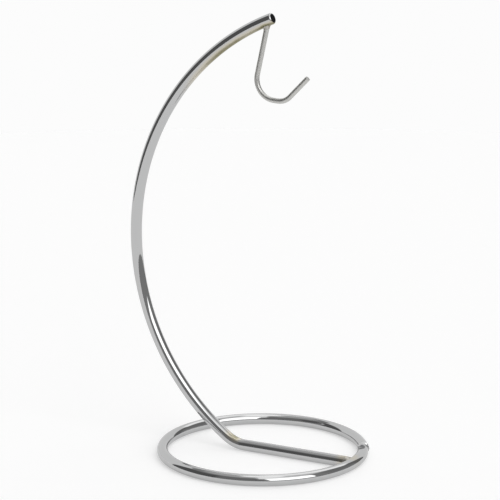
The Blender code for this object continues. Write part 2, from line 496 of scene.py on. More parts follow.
class Graph:
    """A node tree that is filled through one method."""

    def __init__(self, tree: bpy.types.NodeTree) -> None:
        """Takes a material's or a world's node tree and empties it."""
        self.tree = tree
        tree.nodes.clear()

    def node(
        self, kind: str, settings: dict | None = None, inputs: dict | None = None
    ) -> bpy.types.Node:
        """Adds a node.

        Args:
            kind: Node type.
            settings: Properties, set first.
            inputs: Socket name or number to a value, a socket or a plain number.

        Returns:
            The node.
        """
        node = self.tree.nodes.new(kind)
        for name, setting in (settings or {}).items():
            setattr(node, name, setting)
        for name, given in (inputs or {}).items():
            given = given.socket if isinstance(given, Value) else given
            if isinstance(given, bpy.types.NodeSocket):
                self.tree.links.new(given, node.inputs[name])
            else:
                node.inputs[name].default_value = given
        return node

    def value(
        self,
        kind: str,
        settings: dict | None = None,
        inputs: dict | None = None,
        output: str | int = 0,
    ) -> Value:
        """Adds a node as node() does and wraps the output of this name or number."""
        return Value(self, self.node(kind, settings, inputs).outputs[output])

    def attribute(self, name: str) -> Value:
        """A mesh attribute as a vector."""
        return self.value("ShaderNodeAttribute", {"attribute_name": name}, output="Vector")

    def place(self) -> Value:
        """Object coordinates, which are metres in the row's frame."""
        return self.value("ShaderNodeTexCoord", output="Object")

    def drawn_out(self, rod: Value, share: float) -> Value:
        """Place on the unrolled rod with its length times a share, which draws a pattern out."""
        settings = {"operation": "MULTIPLY"}
        return self.value("ShaderNodeVectorMath", settings, {0: rod, 1: (1.0, 1.0, share)})

    def noise(
        self, vector: Value, scale: float, detail: float = 2.0, roughness: float = 0.5
    ) -> Value:
        """Smooth noise about one half, with its scale in lumps a metre and its detail in octaves."""
        inputs = {"Vector": vector, "Scale": scale, "Detail": detail, "Roughness": roughness}
        return self.value("ShaderNodeTexNoise", {"normalize": True}, inputs, "Fac")

    def cells(self, vector: Value, scale: float) -> Value:
        """Distance to the nearest of scattered points in cell widths, with scale cells a metre."""
        inputs = {"Vector": vector, "Scale": scale}
        return self.value("ShaderNodeTexVoronoi", None, inputs, "Distance")

    def near(self, vector: Value, spot: Point, inner: float, outer: float) -> Value:
        """One near a point, falling smoothly to zero away from it.

        Args:
            vector: Where it is read.
            spot: The point.
            inner: Distance up to which it is one.
            outer: Distance from which it is zero.

        Returns:
            The mask.
        """
        settings = {"operation": "DISTANCE"}
        distance = self.value("ShaderNodeVectorMath", settings, {0: vector, 1: spot}, "Value")
        return distance.eased(outer, inner)

    def blend(self, share: Value, low: Colour | Value, high: Colour | Value) -> Value:
        """A colour between two: a share of 0 gives low and 1 gives high."""
        inputs = {"Factor": share, 6: low, 7: high}
        return self.value("ShaderNodeMix", {"data_type": "RGBA"}, inputs, 2)

    def bump(self, height: Value, distance: float, before: Value | None = None) -> Value:
        """A normal tilted by a height map.

        Args:
            height: The height, where 1 stands for the distance.
            distance: Height of 1, in metres.
            before: A normal that is tilted further.

        Returns:
            The normal.
        """
        inputs: dict = {"Height": height, "Distance": distance, "Strength": 1.0}
        if before is not None:
            inputs["Normal"] = before
        return self.value("ShaderNodeBump", None, inputs)

    def show(self, shader: bpy.types.Node, output: str) -> None:
        """Links a shader to a new output node of this type."""
        self.tree.links.new(shader.outputs[0], self.node(output).inputs["Surface"])


# ---------------------------------------------------------------- finishes


@dataclass(frozen=True)
class Finish:
    """A surface made by one Principled shader, whose sockets each kind of finish fills in.

    Attributes:
        name: Material's name.
    """

    name: str

    def sockets(self, graph: Graph) -> dict[str, Value | Colour | float]:
        """What goes into the shader's sockets, by their names."""
        raise NotImplementedError

    def material(self) -> bpy.types.Material:
        """Builds the material.

        Returns:
            The material, with its own graph.
        """
        material = bpy.data.materials.new(self.name)
        material.use_nodes = True
        graph = Graph(material.node_tree)
        shader = graph.node("ShaderNodeBsdfPrincipled", None, self.sockets(graph))
        graph.show(shader, "ShaderNodeOutputMaterial")
        return material


@dataclass(frozen=True)
class WeldHazeAndPaintedTint:
    """Where chrome next to a weld gets a painted warm reflection and painted shade, and is rougher.

    Attributes:
        spot: Middle of the weld.
        inner: Distance up to which the change is full.
        outer: Distance at which it has gone.
        strength: How strong it is.
    """

    spot: Point
    inner: float
    outer: float
    strength: float = 0.5

    def mask(self, graph: Graph, place: Value) -> Value:
        """Its strength next to the weld, falling to zero away from it."""
        return graph.near(place, self.spot, self.inner, self.outer) * self.strength


@dataclass(frozen=True)
class GroundPatchPaintedDark:
    """A ground stretch of the unrolled rod: rougher, and with a painted dark reflection in its
    colour.

    Attributes:
        spot: Its middle on the unrolled rod.
        half_length: Half its length along the rod.
        half_width: Half its width across.
        core: A small spot inside it that has kept its polish and is spared most of the painted dark
            reflection.
        core_radius: Radius of that spot.
        core_share: How much of its polish that spot has kept, and how much of the painted dark
            reflection it is spared.
        notches: Notches of the ragged edge in a metre.
    """

    spot: Point
    half_length: float
    half_width: float
    core: Point
    core_radius: float = 0.0009
    core_share: float = 0.85
    notches: float = 1400.0

    def mask(self, graph: Graph, rod: Value) -> Value:
        """One inside an ellipsoid about the spot, with a ragged edge.

        Args:
            graph: The material's graph.
            rod: Place on the unrolled rod.

        Returns:
            The mask.
        """
        squeeze = self.half_width / self.half_length
        middle = (self.spot[0], self.spot[1], self.spot[2] * squeeze)
        rounded = graph.drawn_out(rod, squeeze)
        close = graph.near(rounded, middle, self.half_width * 0.3, self.half_width * 1.3)
        ragged = (graph.noise(rod, self.notches) - 0.5) * 0.5
        kept = graph.near(rod, self.core, self.core_radius * 0.4, self.core_radius * 1.5)
        return (close + ragged).eased(0.42, 0.58) * (1.0 - kept * self.core_share)


@dataclass(frozen=True)
class BendInsidePaintedShade:
    """Painted warm reflection and painted olive shade on the inside of a bend, with more roughness.

    Attributes:
        rod_radius: The rod's radius.
        start: Distance along the rod where it sets in.
        full: Distance from which it is full.
        fading: Distance from which it fades again.
        gone: Distance at which it has gone.
        strength: How strong it is.
    """

    rod_radius: float
    start: float
    full: float
    fading: float = 1.0
    gone: float = 1.1
    strength: float = 1.0

    def mask(self, height: Value, along: Value) -> Value:
        """Its strength on the inside of the bend, between the start and where it has gone.

        Args:
            height: Height on the unrolled rod, negative on the inside of the bend.
            along: Distance along it.

        Returns:
            The mask.
        """
        inside = height.eased(0.05 * self.rod_radius, -self.rod_radius)
        stretch = along.eased(self.start, self.full) * along.eased(self.gone, self.fading)
        return inside * stretch * self.strength


@dataclass(frozen=True)
class CutFace:
    """The flat face at a rod's last end.

    Attributes:
        place: Distance of the face along the rod.
        edge: Radius of the rounding in front of it.
    """

    place: float
    edge: float

    def mask(self, along: Value) -> Value:
        """One on the face, falling to zero over the last part of the rounding."""
        return along.eased(self.place - self.edge * 0.20, self.place - self.edge * 0.04)


@dataclass(frozen=True)
class BrightChrome(Finish):
    """Polished chrome plating on a drawn steel rod.

    Attributes:
        tint: Reflectance of clean chrome.
        warm: Colour where the painted warm reflection sets in.
        painted_olive_shade: Colour where the painted reflection is strongest: a dark olive painted
            shade.
        painted_dark_face: Colour of the cut face at the tip: a painted dark reflection, nearly
            black.
        painted_dark_ground: Colour of a patch that was ground after polishing: a painted dark
            reflection.
        edge: Reflectance at a grazing angle, as a share of a perfect mirror's.
        roughness: Roughness of the brightest plating.
        haze: How much rougher the cloudy places are.
        tinted_haze: How much rougher the places with the painted tint are.
        pit_haze: How much rougher a pit is.
        ground_haze: How much rougher a ground patch is.
        line_haze: How much the roughness changes from line to line.
        line_depth: Depth of the fine lines that drawing and polishing leave along the rod.
        line_scale: Such lines in a metre across the rod.
        pit_depth: Depth of a pit, in line depths.
        pit_scale: Places in a metre where a pit may be.
        pit_groups: Groups of pits in a metre.
        grit_scale: Grains in a metre on a ground patch.
        wave_depth: Depth of the slow waviness under the polish.
        wave_scale: Such waves in a metre.
        cloud_scale: Clouds in a metre.
        drawn: How far lines, waves and grit are drawn out along the rod, as drawn_out() takes it.
        weld_hazes_and_tints: Painted warm reflection, painted shade and haze next to the welds.
        bend_painted_shades: Painted warm reflection, painted shade and haze inside the bends.
        patches: Ground patches, which get a painted dark reflection in their colour.
        cut: Where the cut face is, which gets the painted dark reflection.
    """

    tint: Colour = (0.508, 0.510, 0.512, 1.0)
    # Colours of the painted warm reflection, the painted olive shade, the painted dark face and the
    # painted dark ground patch.
    warm: Colour = (0.56, 0.525, 0.445, 1.0)
    painted_olive_shade: Colour = (0.25, 0.232, 0.145, 1.0)
    painted_dark_face: Colour = (0.035, 0.035, 0.04, 1.0)
    painted_dark_ground: Colour = (0.10, 0.10, 0.105, 1.0)
    edge: Colour = (0.86, 0.86, 0.86, 1.0)
    roughness: float = 0.035
    haze: float = 0.05
    tinted_haze: float = 0.10
    pit_haze: float = 0.25
    ground_haze: float = 0.34
    line_haze: float = 0.02
    line_depth: float = 0.0000006
    line_scale: float = 5200.0
    pit_depth: float = 4.0
    pit_scale: float = 900.0
    pit_groups: float = 140.0
    grit_scale: float = 6000.0
    wave_depth: float = 0.000012
    wave_scale: float = 230.0
    cloud_scale: float = 55.0
    drawn: tuple[float, float, float] = (0.015, 0.35, 0.25)
    weld_hazes_and_tints: tuple[WeldHazeAndPaintedTint, ...] = ()
    bend_painted_shades: tuple[BendInsidePaintedShade, ...] = ()
    patches: tuple[GroundPatchPaintedDark, ...] = ()
    cut: CutFace | None = None

    def pits(self, graph: Graph, place: Value, rod: Value) -> Value:
        """Small round pits, which lie in loose groups where a slow noise is high."""
        groups = graph.noise(place, self.pit_groups, 1.0).eased(0.60, 0.68)
        return graph.cells(rod, self.pit_scale).eased(0.10, 0.03) * groups

    def sockets(self, graph: Graph) -> dict[str, Value | Colour | float]:
        """Chrome with lines, waves, clouds and pits, with painted warm reflection and painted shade
        next to the welds and inside the bends, and a painted dark reflection on ground patches and
        on the cut face.

        Args:
            graph: The material's graph.

        Returns:
            What goes into the shader's sockets.
        """
        place, rod = graph.place(), graph.attribute(UNROLLED)
        split = graph.node("ShaderNodeSeparateXYZ", None, {0: rod})
        height, along = Value(graph, split.outputs[1]), Value(graph, split.outputs[2])
        for_lines, for_waves, for_grit = (graph.drawn_out(rod, share) for share in self.drawn)
        lines = graph.noise(for_lines, self.line_scale)
        waves = graph.noise(for_waves, self.wave_scale, 1.0)
        grit = graph.noise(for_grit, self.grit_scale)
        cloud = graph.noise(place, self.cloud_scale, 3.0, 0.6)
        pits = self.pits(graph, place, rod)
        weld_tint_and_haze = sum(haze.mask(graph, place) for haze in self.weld_hazes_and_tints)
        bend_painted_shade = sum(inside.mask(height, along) for inside in self.bend_painted_shades)
        painted_tint_and_haze = ((cloud * 1.2 + 0.4) * (weld_tint_and_haze + bend_painted_shade)).clamped()
        ground = sum(patch.mask(graph, rod) for patch in self.patches)
        # Painted warm reflection and painted olive shade next to the welds and inside the bends.
        colour = graph.blend(painted_tint_and_haze.eased(0.0, 0.55), self.tint, self.warm)
        colour = graph.blend(painted_tint_and_haze.eased(0.4, 1.0), colour, self.painted_olive_shade)
        # Ground patches get a painted dark reflection in their colour, and more roughness below.
        colour = graph.blend((grit * 0.5 + 0.65) * ground, colour, self.painted_dark_ground)
        # The cut face at the tip gets a painted dark reflection: a nearly black colour.
        if self.cut is not None:
            colour = graph.blend(self.cut.mask(along), colour, self.painted_dark_face)
        dulled = cloud.eased(0.48, 0.72) * self.haze + painted_tint_and_haze * self.tinted_haze
        dulled = dulled + pits * self.pit_haze + ground * self.ground_haze
        wavy = graph.bump(waves, self.wave_depth)
        return {
            "Base Color": colour,
            "Metallic": 1.0,
            "Roughness": dulled + (lines - 0.5) * self.line_haze + self.roughness,
            "Normal": graph.bump(lines - pits * self.pit_depth, self.line_depth, wavy),
            "Specular Tint": self.edge,
        }


@dataclass(frozen=True)
class PlatedWeld(Finish):
    """Chrome over an uneven weld bead: duller, slightly warm, and darker in random patches.

    Attributes:
        tint: Reflectance outside the darker patches.
        random_dark_tint: Reflectance in the darker patches.
        roughness: Least roughness.
        grain_depth: Depth of the fine unevenness.
        grain_scale: Its grains in a metre.
        grain_haze: How much the roughness changes from grain to grain.
        patch_scale: Such patches in a metre.
    """

    tint: Colour = (0.50, 0.485, 0.45, 1.0)
    random_dark_tint: Colour = (0.33, 0.31, 0.27, 1.0)
    roughness: float = 0.34
    grain_depth: float = 0.00006
    grain_scale: float = 1500.0
    grain_haze: float = 0.18
    patch_scale: float = 420.0

    def sockets(self, graph: Graph) -> dict[str, Value | Colour | float]:
        """Plating that is darker in random noise patches and grainy all over.

        Args:
            graph: The material's graph.

        Returns:
            What goes into the shader's sockets.
        """
        place = graph.place()
        grain = graph.noise(place, self.grain_scale, 3.0, 0.6)
        # Darker and paler patches follow a noise, not the bead's relief.
        paler_patches = graph.noise(place, self.patch_scale).eased(0.42, 0.62)
        return {
            "Base Color": graph.blend(paler_patches, self.random_dark_tint, self.tint),
            "Metallic": 1.0,
            "Roughness": grain * self.grain_haze + self.roughness,
            "Normal": graph.bump(grain, self.grain_depth),
        }


@dataclass(frozen=True)
class PaleFloor(Finish):
    """Plain pale tabletop.

    Attributes:
        tone: Diffuse reflectance.
        glow: Light that it gives off, which keeps its shadows light.
    """

    tone: Colour = (0.60, 0.60, 0.60, 1.0)
    glow: float = 0.455

    def sockets(self, graph: Graph) -> dict[str, Value | Colour | float]:
        """Matt, without a gleam, and glowing a little."""
        matt = {"Base Color": self.tone, "Roughness": 0.9, "Specular IOR Level": 0.0}
        return matt | {"Emission Color": WHITE, "Emission Strength": self.glow}


# ---------------------------------------------------------------- sub-assemblies


def finish_piece(
    sheet: Sheet, name: str, node: str, material: bpy.types.Material
) -> None:
    """Makes a piece of a surface, dresses it, and lets it stand for its node.

    Args:
        sheet: The surface.
        name: Name of the piece.
        node: Node that it replaces.
        material: Its material.
    """
    piece = sheet.make(name)
    piece.data.materials.append(material)
    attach(piece, ROOT_BODY)
    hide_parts(node)
    LOG.info("%s: %d faces", name, len(piece.data.polygons))


@dataclass(frozen=True)
class GroundFlat:
    """A matt flat that a grinding wheel left on the ring next to the seam.

    Attributes:
        angle: Where its middle is round the section, in radians from outwards to up.
        behind: Distance of its middle from the ring's last end.
        length: Its length along the ring.
        depth: How deep it is cut.
        pimple: Height of the lump of weld left in it.
        pimple_behind: Distance of that lump from the ring's last end.
        pimple_angle: Where the lump is round the section.
        pimple_length: Half the lump's length along the ring.
        pimple_width: Half its width across.
    """

    angle: float = math.radians(102.0)
    behind: float = 0.0049
    length: float = 0.0080
    depth: float = 0.00036
    pimple: float = 0.00030
    pimple_behind: float = 0.0054
    pimple_angle: float = math.radians(102.0) + 0.19
    pimple_length: float = 0.0009
    pimple_width: float = 0.00045

    def relief(self, along: Array, angle: Array, radius: float) -> Array:
        """Height over the round section.

        The flat is where a plane cuts the circle, (radius - depth) / cosine of the angle from
        its middle, and its depth fades over the last third at both ends. The pimple is a bell
        curve.

        Args:
            along: Distance from the last end for each row.
            angle: Angle of each column.
            radius: The rod's radius.

        Returns:
            The height, rows by columns.
        """
        from_middle = (along - self.behind) / (self.length / 2)
        depth = self.depth * smooth_step((1.1 - np.abs(from_middle)) / 0.35)
        turned = np.cos(angle - self.angle)
        plane = (radius - depth[:, None]) / np.clip(turned, 0.3, 1.0)
        cut = np.minimum(plane - radius, 0.0)
        beside = (angle - self.pimple_angle) * radius / self.pimple_width
        before = (along - self.pimple_behind) / self.pimple_length
        return cut + self.pimple * np.exp(-(before ** 2)[:, None] - beside ** 2)


@dataclass(frozen=True)
class DressedBead:
    """Weld over the ring's seam, dressed flush but for a lump on the proud end's edge.

    Attributes:
        before: How far it runs over the lower end.
        after: How far it runs over the end that stands proud.
        step_start: Distance before the seam at which its step begins.
        step_length: Length of the step.
        crown: Height of its middle over the rod.
        sink: How far its toes sink below the crown.
        uneven: Heights of its slow and its fine unevenness.
        flush: How far the underside is ground below the rod's surface.
        lump: Height of the lump.
        lump_rise: Length over which the lump rises.
        lump_fade: Length over which it fades behind the seam.
        lump_angle: Where the lump is round the section, in radians from outwards to up.
        lump_spread: Half its spread round the section.
        groove: Depth of the groove in front of the step.
        groove_before: Distance of the groove before the seam.
        groove_width: Half its width.
        close: Radius of the hidden closing rows, as a share of the bead's.
    """

    before: float = 0.0013
    after: float = 0.0042
    step_start: float = 0.0003
    step_length: float = 0.0006
    crown: float = 0.00004
    sink: float = 0.0001
    uneven: tuple[float, float] = (0.00003, 0.00002)
    flush: float = 0.00003
    lump: float = 0.00048
    lump_rise: float = 0.0005
    lump_fade: float = 0.0012
    lump_angle: float = math.radians(56.0)
    lump_spread: float = math.radians(20.0)
    groove: float = 0.00008
    groove_before: float = 0.0004
    groove_width: float = 0.00016
    close: float = 0.8

    def height(self, along: Array, angle: Array) -> Array:
        """Height over the rod.

        A low crown sinks under the rod's surface at both toes. The lump rises steeply at the
        step and fades slowly behind it. The underside is ground flush.

        Args:
            along: Distance from the seam, positive over the proud end.
            angle: Angle round the section, from outwards to up.

        Returns:
            The height at each pair.
        """
        reach = np.where(along < 0, self.before, self.after)
        toe = np.abs(along / reach)
        slow, fine = self.uneven
        uneven = slow * np.sin(7 * angle + 900 * along) + fine * np.sin(13 * angle + 1.3)
        turned = np.arctan2(np.sin(angle - self.lump_angle), np.cos(angle - self.lump_angle))
        rise = smooth_step((along + self.step_start) / self.lump_rise)
        fade = np.exp(-((np.clip(along, 0.0, None) / self.lump_fade) ** 2))
        lump = self.lump * rise * fade * np.exp(-((turned / self.lump_spread) ** 4))
        groove = self.groove * np.exp(-(((along + self.groove_before) / self.groove_width) ** 2))
        top = np.clip(np.sin(angle) * 3 + 2, 0.0, 1.0)
        over = self.crown - self.sink * toe ** 6 + uneven * (1 - toe ** 2) + lump - groove
        return over * top - self.flush * (1 - top)


@dataclass
class BaseRing:
    """The foot: one rod rolled into a circle, closed by a butt weld that was dressed roughly.

    Attributes:
        rod_radius: Radius of the rod.
        centre_radius: Radius of the circle that its centreline follows.
        seam_angle: Where the seam is, in radians from +X towards +Y.
        seam_gap: Distance between the two ends.
        seam_step: How far one end stands outside the other.
        seam_ease: Angle over which an end returns to the circle.
        end: Finish of both ends.
        flat: The ground flat next to the seam.
        bead: The weld over the seam.
        around: Columns round the rod.
    """

    rod_radius: float
    centre_radius: float
    seam_angle: float
    seam_gap: float = 0.0012
    seam_step: float = 0.0006
    seam_ease: float = math.radians(14.0)
    end: RodEnd = RodEnd(edge=0.00035)
    flat: GroundFlat = GroundFlat()
    bead: DressedBead = DressedBead()
    around: int = 96

    def centreline(self, count: int = 900) -> Centreline:
        """Circle with its two ends eased apart: radius plus half a step times the squared ease.

        Args:
            count: Number of points.

        Returns:
            The centreline, from the outer end round to the inner end.
        """
        gap = (self.seam_gap / 2 + self.end.edge) / self.centre_radius
        sweep = 2 * math.pi - 2 * gap
        swept = np.linspace(0.0, sweep, count)
        from_start = np.clip(1 - swept / self.seam_ease, 0.0, None)
        from_end = np.clip(1 - (sweep - swept) / self.seam_ease, 0.0, None)
        radius = self.centre_radius + self.seam_step / 2 * (from_start ** 2 - from_end ** 2)
        angle = self.seam_angle + gap + swept
        outwards = np.stack([np.cos(angle), np.sin(angle), np.zeros(count)], axis=-1)
        points = outwards * radius[:, None]
        points[:, 2] = self.rod_radius
        upwards = np.broadcast_to([0.0, 0.0, 1.0], points.shape)
        return Centreline(points, outwards, upwards, swept * self.centre_radius)

    def seam_weld(self, columns: int = 160, rows: int = 84) -> Sheet:
        """Bead over the seam: the rod's radius plus the bead's height, swept past the step.

        Args:
            columns: Points round the rod.
            rows: Points across the bead.

        Returns:
            The closed bead.
        """
        bead = self.bead
        angle = once_round(columns)[None]
        along = np.linspace(-bead.before, bead.after, rows)[:, None]
        radii = self.rod_radius + bead.height(along, angle)
        radii = np.concatenate([radii[:1] * bead.close, radii, radii[-1:] * bead.close])
        along = np.concatenate([along[:1], along, along[-1:]])
        side = 2 * smooth_step((along + bead.step_start) / bead.step_length) - 1
        ease = self.seam_ease * self.centre_radius
        past = np.clip(1 - (np.abs(along) - self.seam_gap / 2) / ease, 0.0, 1.0)
        centre = self.centre_radius + self.seam_step / 2 * side * past ** 2
        across, upwards = radii * np.cos(angle), radii * np.sin(angle)
        around = self.seam_angle + along / self.centre_radius
        radial = centre + across
        height = self.rod_radius + upwards
        grid = np.stack([radial * np.cos(around), radial * np.sin(around), height], axis=-1)
        unrolled = np.stack([across, upwards, np.broadcast_to(along, radii.shape)], axis=-1)
        return Sheet(grid, unrolled, closed_rows=True)

    def ground_patch_painted_dark(self, kept_from: float = math.radians(18.0)) -> GroundPatchPaintedDark:
        """Where the ground flat has lost its polish and gets a painted dark reflection, on the
        unrolled rod.

        Args:
            kept_from: Angle round the section from its middle to the spot that kept its polish.

        Returns:
            The patch, a little longer and wider than the flat.
        """
        place = float(self.centreline(3).along[-1]) - self.flat.behind
        spot, core = (
            (self.rod_radius * math.cos(angle), self.rod_radius * math.sin(angle), place)
            for angle in (self.flat.angle, self.flat.angle + kept_from)
        )
        return GroundPatchPaintedDark(spot, self.flat.length * 0.58, self.rod_radius * 0.8, core)

    def build(self, chrome: bpy.types.Material, weld: bpy.types.Material) -> None:
        """Makes the ring and its seam weld.

        Args:
            chrome: Finish of the rod.
            weld: Finish of the bead.
        """
        rod = Rod(self.rod_radius, self.around, self.end, self.end)
        line = self.centreline()
        relief = self.flat.relief(line.along[-1] - line.along, rod.angles(), self.rod_radius)
        ring = rod.sheet(line, relief=relief)
        finish_piece(ring, "ring_rod", "base_ring", chrome)
        finish_piece(self.seam_weld(), "seam_bead", "ring_weld", weld)


@dataclass
class StandArm:
    """One rod: a bar along the ring's diameter, a tight bend, and the long curve to the hook.

    Attributes:
        rod_radius: Radius of the rod.
        bar_end: X of the bar's end at the ring.
        ring_radius: Centreline radius of the ring that the bar is welded to.
        bend_x: X where the tight bend starts.
        bend_radius: Its centreline radius.
        bend_turn: Its angle, in degrees.
        curve_radius: Centreline radius of the long curve.
        curve_turn: Its angle, in degrees.
        tip: Finish of the free end.
        foot: Finish of the end at the ring.
        ease: Length over which one curvature passes to the next.
        flattening: How much flatter the section is in the tight bend.
        weld_leg: Length of the fillet along the bar.
        weld_spread: Its reach sideways over the ring, in rod radii.
        weld_lift: Its reach up and down over the ring, in rod radii.
        weld_ripple: Unevenness of the fillet.
        around: Columns round the rod.
    """

    rod_radius: float
    bar_end: float
    ring_radius: float
    bend_x: float = -0.0111
    bend_radius: float = 0.018
    bend_turn: float = 34.1
    curve_radius: float = 0.1276
    curve_turn: float = 125.4
    tip: RodEnd = RodEnd(edge=0.0011, edge_rows=14, face_rows=9)
    foot: RodEnd = RodEnd(edge=0.0003)
    ease: float = 0.004
    flattening: float = 0.025
    weld_leg: float = 0.0021
    weld_spread: float = 1.30
    weld_lift: float = 0.84
    weld_ripple: WeldRipple = WeldRipple(height=0.00005, count=26, lumps=0.00008, phase=0.7)
    around: int = 72

    def centreline(self, count: int = 620) -> Centreline:
        """Centreline between the roundings of its two ends.

        Args:
            count: Number of points.

        Returns:
            The centreline, from the ring to the free end.
        """
        start_x = self.bar_end - self.foot.edge
        tip_share = 1 - self.tip.edge / (self.curve_radius * math.radians(self.curve_turn))
        stretches = [
            Stretch(start_x - self.bend_x),
            Stretch.bend(self.bend_radius, -self.bend_turn),
            Stretch.bend(self.curve_radius, -self.curve_turn * tip_share),
        ]
        start = Vector((start_x, 0.0, self.rod_radius))
        return bent_centreline(start, math.pi, stretches, self.ease, count)

    def bend_squash(self, line: Centreline) -> Array:
        """Flattening along the rod: a bell curve over the tight bend.

        Args:
            line: The rod's centreline.

        Returns:
            The flattening at each point.
        """
        half = self.bend_radius * math.radians(self.bend_turn) / 2
        middle = self.bar_end - self.bend_x + half
        return self.flattening * np.exp(-(((line.along - middle) / half) ** 2))

    def foot_weld(self, columns: int = 144, rows: int = 22) -> Sheet:
        """Fillet between the bar's end and the ring's inner side, all round the bar.

        The toe on the bar is a circle drawn back by the leg, and the toe on the ring is an
        ellipse of the spread and the lift, carried onto the ring's tube. Each toe is uneven by
        a few hundredths, and the bead is pulled towards the root between the two rods.

        Args:
            columns: Points round the bar.
            rows: Points from toe to toe.

        Returns:
            The closed fillet.
        """
        around = once_round(columns)
        cos, sin = np.cos(around), np.sin(around)
        radius = self.rod_radius
        inner = self.ring_radius - radius
        leg = self.weld_leg * (1 + 0.12 * np.sin(2 * around + 0.5) + 0.06 * np.sin(5 * around))
        on_bar = np.stack([inner - leg, radius * cos, radius * (1 + sin)], axis=-1)
        ring_y = radius * (self.weld_spread + 0.05 * np.sin(3 * around)) * cos
        lift = radius * self.weld_lift * sin
        ring_x = on_tube(self.ring_radius - on_tube(radius, lift), ring_y)
        on_ring = np.stack([ring_x, ring_y, radius + lift], axis=-1)
        root_x = np.full(columns, inner - 0.0001)
        root = np.stack([root_x, radius * 1.02 * cos, radius * (1 + 0.97 * sin)], axis=-1)
        bar_middle = np.array([inner - self.weld_leg, 0.0, radius])
        ring_middle = np.array([self.ring_radius, 0.0, radius])
        sunk_bar = bar_middle + (on_bar - bar_middle) * 0.8
        sunk_ring = on_ring + (ring_middle - on_ring) * 0.25
        return fillet_collar(on_bar, root, on_ring, sunk_bar, sunk_ring, self.weld_ripple, rows)

    def build(self, chrome: bpy.types.Material, weld: bpy.types.Material) -> None:
        """Makes the arm and the weld at its foot.

        Args:
            chrome: Finish of the rod.
            weld: Finish of the fillet.
        """
        line = self.centreline()
        rod = Rod(self.rod_radius, self.around, self.foot, self.tip)
        arm = rod.sheet(line, self.bend_squash(line))
        finish_piece(arm, "arm_rod", "stand_arm", chrome)
        finish_piece(self.foot_weld(), "foot_fillet", "foot_weld", weld)


@dataclass
class Hook:
    """The wire hook under the arm's free end, and the small weld that holds it.

    Attributes:
        wire_radius: Radius of the wire.
        arm: The arm that it hangs from.
        set_back: Distance of the shank from the arm's end face.
        lean: Angle of the shank from upright, in degrees.
        shank: Length of the shank from the arm's underside.
        bowl_radius: Centreline radius of the bowl.
        flat: Length of the straight after the bowl.
        flat_fall: How steeply it still falls, in degrees.
        lip_bend_radius: Centreline radius of the bend before the lip.
        lip_rise: Angle of the lip, in degrees.
        lip: Length of the lip.
        end: Finish of the wire's end.
        ease: Length over which one curvature passes to the next.
        weld_length: Length of the weld along the wire.
        weld_flare: How far the weld spreads over the arm.
        weld_stretch: How much further it spreads along the arm than across it.
        weld_ripple: Unevenness of the weld.
        around: Columns round the wire.
    """

    wire_radius: float
    arm: StandArm
    set_back: float = 0.00525
    lean: float = 12.75
    shank: float = 0.0252
    bowl_radius: float = 0.0104
    flat: float = 0.0026
    flat_fall: float = 4.0
    lip_bend_radius: float = 0.0087
    lip_rise: float = 44.8
    lip: float = 0.0144
    end: RodEnd = RodEnd(edge=0.00022, edge_rows=6, face_rows=5)
    ease: float = 0.0016
    weld_length: float = 0.0017
    weld_flare: float = 0.00075
    weld_stretch: float = 1.15
    weld_ripple: WeldRipple = WeldRipple(height=0.00004, count=15, lumps=0.00006, phase=0.3)
    around: int = 40

    def contact(self) -> tuple[Array, float]:
        """Where the shank's centreline meets the arm's underside.

        Returns:
            The point, and the arm's heading there.
        """
        line = self.arm.centreline()
        past_last = self.set_back - self.arm.tip.edge
        index = int(np.argmin(np.abs(line.along - (line.along[-1] - past_last))))
        upwards = line.upwards[index]
        heading = math.atan2(-upwards[0], upwards[2])
        return line.points[index] - upwards * self.arm.rod_radius, heading

    def centreline(self, count: int = 340) -> Centreline:
        """Centreline from inside the weld to the lip's end.

        Args:
            count: Number of points.

        Returns:
            The centreline.
        """
        top, _ = self.contact()
        down = -math.pi / 2 - math.radians(self.lean)
        stretches = [
            Stretch(self.shank),
            Stretch.bend(self.bowl_radius, 90 + self.lean - self.flat_fall),
            Stretch(self.flat),
            Stretch.bend(self.lip_bend_radius, self.lip_rise + self.flat_fall),
            Stretch(self.lip - self.end.edge),
        ]
        return bent_centreline(Vector(top), down, stretches, self.ease, count)

    def weld(self, columns: int = 96, rows: int = 18) -> Sheet:
        """Small fillet cone from the wire to the arm's underside.

        The toe on the arm is a ring about the contact, carried onto the arm's round underside:
        its drop below the underside's line is the radius less the root of radius squared less
        sideways distance squared.

        Args:
            columns: Points round the wire.
            rows: Points from toe to toe.

        Returns:
            The closed cone.
        """
        top, heading = self.contact()
        around = once_round(columns)[:, None]
        cos, sin = np.cos(around), np.sin(around)
        lean = math.radians(self.lean)
        down, beside = in_plane(-math.pi / 2 - lean), in_plane(-lean)
        arm_along, arm_up = in_plane(heading), in_plane(heading + math.pi / 2)
        across = np.array([0.0, 1.0, 0.0])
        radial = beside * cos + across * sin
        length = self.weld_length * (1 + 0.15 * np.sin(2 * around + 1.0))
        shear = math.tan(heading + lean) * cos * self.wire_radius
        on_wire = top + down * (length - shear) + radial * self.wire_radius
        reach = self.wire_radius + self.weld_flare * (1 + 0.1 * np.sin(3 * around))
        sideways = reach * sin
        radius = self.arm.rod_radius
        rise = radius - on_tube(radius, sideways)
        ahead = reach * cos * self.weld_stretch
        on_arm = top + arm_along * ahead + across * sideways + arm_up * rise
        root = top - down * (shear + rise) + radial * self.wire_radius * 1.05
        wire_middle = top + down * length
        sunk_wire = wire_middle + (on_wire - wire_middle) * 0.6
        sunk_arm = on_arm + (top + arm_up * radius - on_arm) * 0.25
        return fillet_collar(on_wire, root, on_arm, sunk_wire, sunk_arm, self.weld_ripple, rows)

    def build(self, chrome: bpy.types.Material, weld: bpy.types.Material) -> None:
        """Makes the hook and its weld.

        Args:
            chrome: Finish of the wire.
            weld: Finish of the cone.
        """
        wire = Rod(self.wire_radius, self.around, self.end, self.end)
        finish_piece(wire.sheet(self.centreline()), "hook_wire", "hook", chrome)
        finish_piece(self.weld(), "hook_fillet", "hook_weld", weld)


